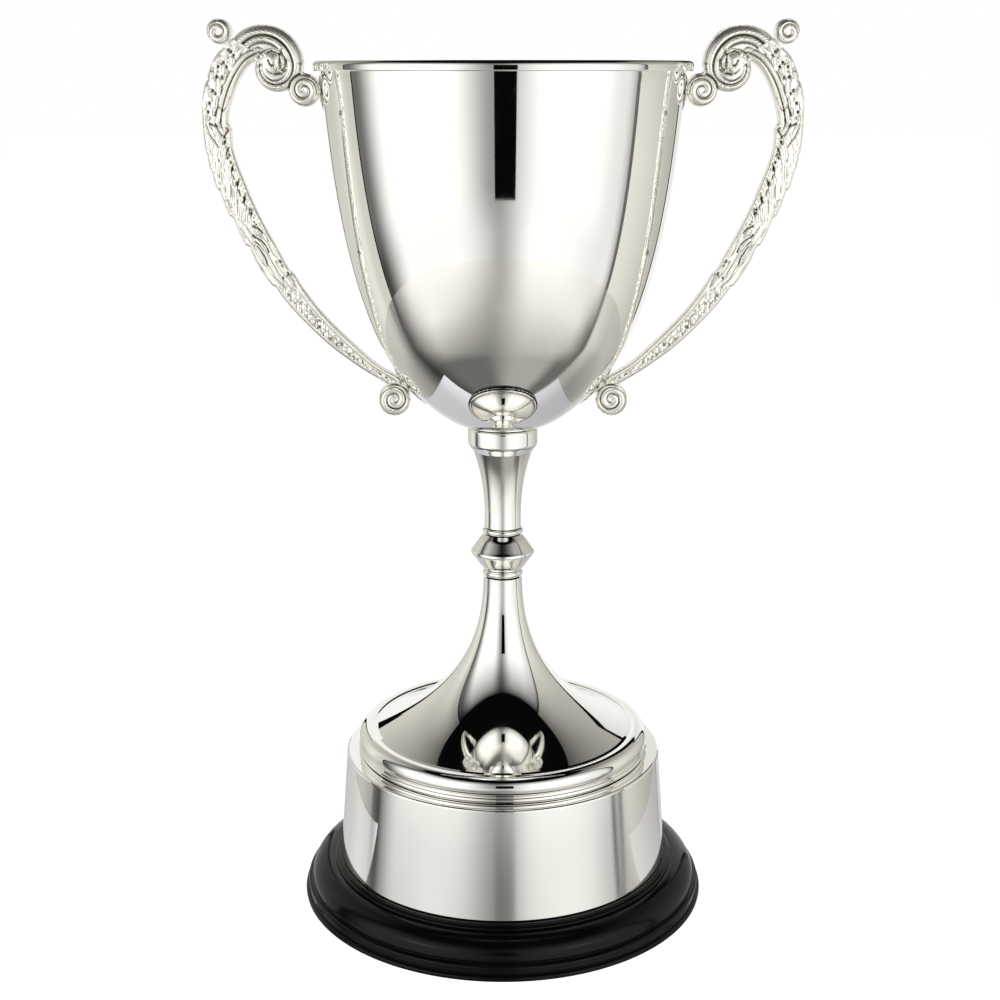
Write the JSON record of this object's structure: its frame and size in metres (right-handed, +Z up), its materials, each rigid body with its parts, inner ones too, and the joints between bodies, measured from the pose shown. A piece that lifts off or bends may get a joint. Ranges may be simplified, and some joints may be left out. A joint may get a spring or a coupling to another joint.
{
  "type": "cup trophy",
  "caption": "Two-handled silver-plated presentation cup with a rounded bowl, scroll handles, knopped stem and trumpet foot, bolted to a round banded plinth.",
  "frame": {"origin": "centre of the base on the surface that the trophy stands on", "axes": "+Z up along the cup's axis, handles along X, the viewed side towards -Y"},
  "size_m": [0.235, 0.1728, 0.3659],
  "materials": {
    "silver_plate": "mirror-polished silver plate",
    "cast_silver": "bright cast silver plate, darker in its recesses",
    "fixing_steel": "plain turned steel",
    "black_lacquer": "gloss black",
    "green_baize": "napped felt"
  },
  "bodies": {
    "root": {"bowl": "silver_plate", "rim_band": "silver_plate", "left_handle": "cast_silver", "right_handle": "cast_silver", "left_upper_screw": "fixing_steel", "left_upper_washer": "fixing_steel", "left_lower_screw": "fixing_steel", "left_lower_washer": "fixing_steel", "right_upper_screw": "fixing_steel", "right_upper_washer": "fixing_steel", "right_lower_screw": "fixing_steel", "right_lower_washer": "fixing_steel", "bowl_washer": "fixing_steel", "tie_rod": "fixing_steel", "stem_collar": "silver_plate", "upper_stem": "silver_plate", "upper_ring": "silver_plate", "knop": "silver_plate", "lower_ring": "silver_plate", "foot": "silver_plate", "foot_plate": "fixing_steel", "foot_nut": "fixing_steel", "plinth": "black_lacquer", "plinth_band": "silver_plate", "tie_washer": "fixing_steel", "tie_nut": "fixing_steel", "baize_pad": "green_baize"}
  },
  "joints": []
}
